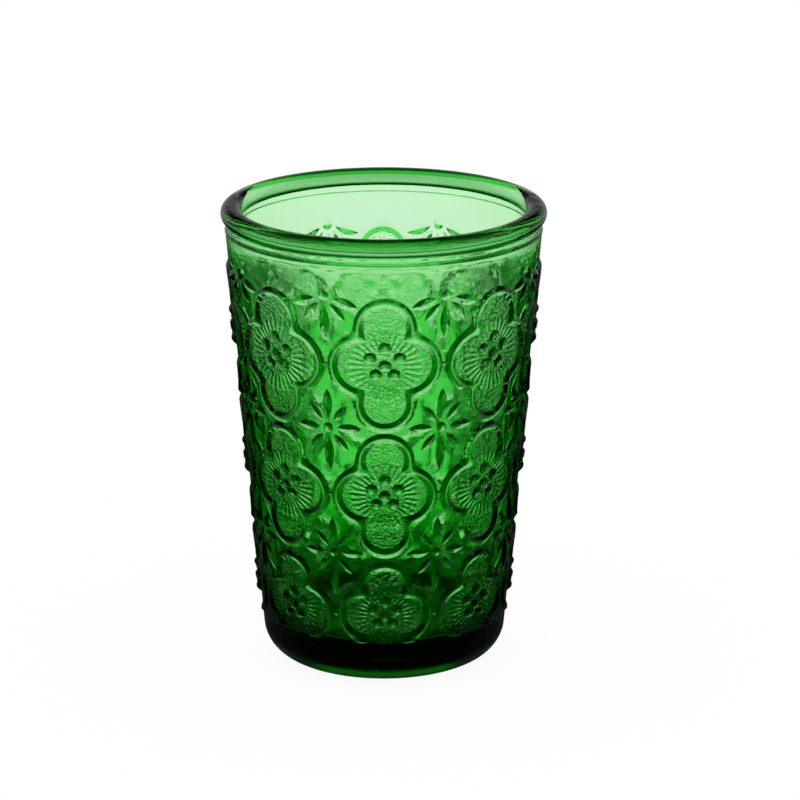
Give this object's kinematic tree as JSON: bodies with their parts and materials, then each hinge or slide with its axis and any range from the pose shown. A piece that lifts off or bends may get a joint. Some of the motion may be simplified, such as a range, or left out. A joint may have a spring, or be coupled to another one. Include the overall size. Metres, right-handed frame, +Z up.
{
  "type": "drinking glass",
  "caption": "Heavy-based tapered drinking glass in green pressed glass, with a rolled rim and raised rows of framed quatrefoils, pearls and petalled florets.",
  "frame": {"origin": "middle of the round foot, on the table plane", "axes": "+Z up along the glass's own axis, towards the rim; -Y faces the camera through the middle of one column of quatrefoils"},
  "size_m": [0.0846, 0.0846, 0.122],
  "materials": {
    "green_glass": "clear gloss, strongly tinted green",
    "green_relief": "clear gloss, fire polished relief"
  },
  "bodies": {
    "root": {"rim_bead": "green_glass", "neck_band": "green_glass", "tapered_wall": "green_glass", "heavy_base": "green_glass", "upper_frames": "green_relief", "middle_frames": "green_relief", "lower_frames": "green_relief", "frame_ties": "green_relief", "upper_pearls": "green_relief", "middle_pearls": "green_relief", "lower_pearls": "green_relief", "half_floret_petals": "green_relief", "upper_floret_petals": "green_relief", "lower_floret_petals": "green_relief", "floret_buttons": "green_relief"}
  },
  "joints": []
}
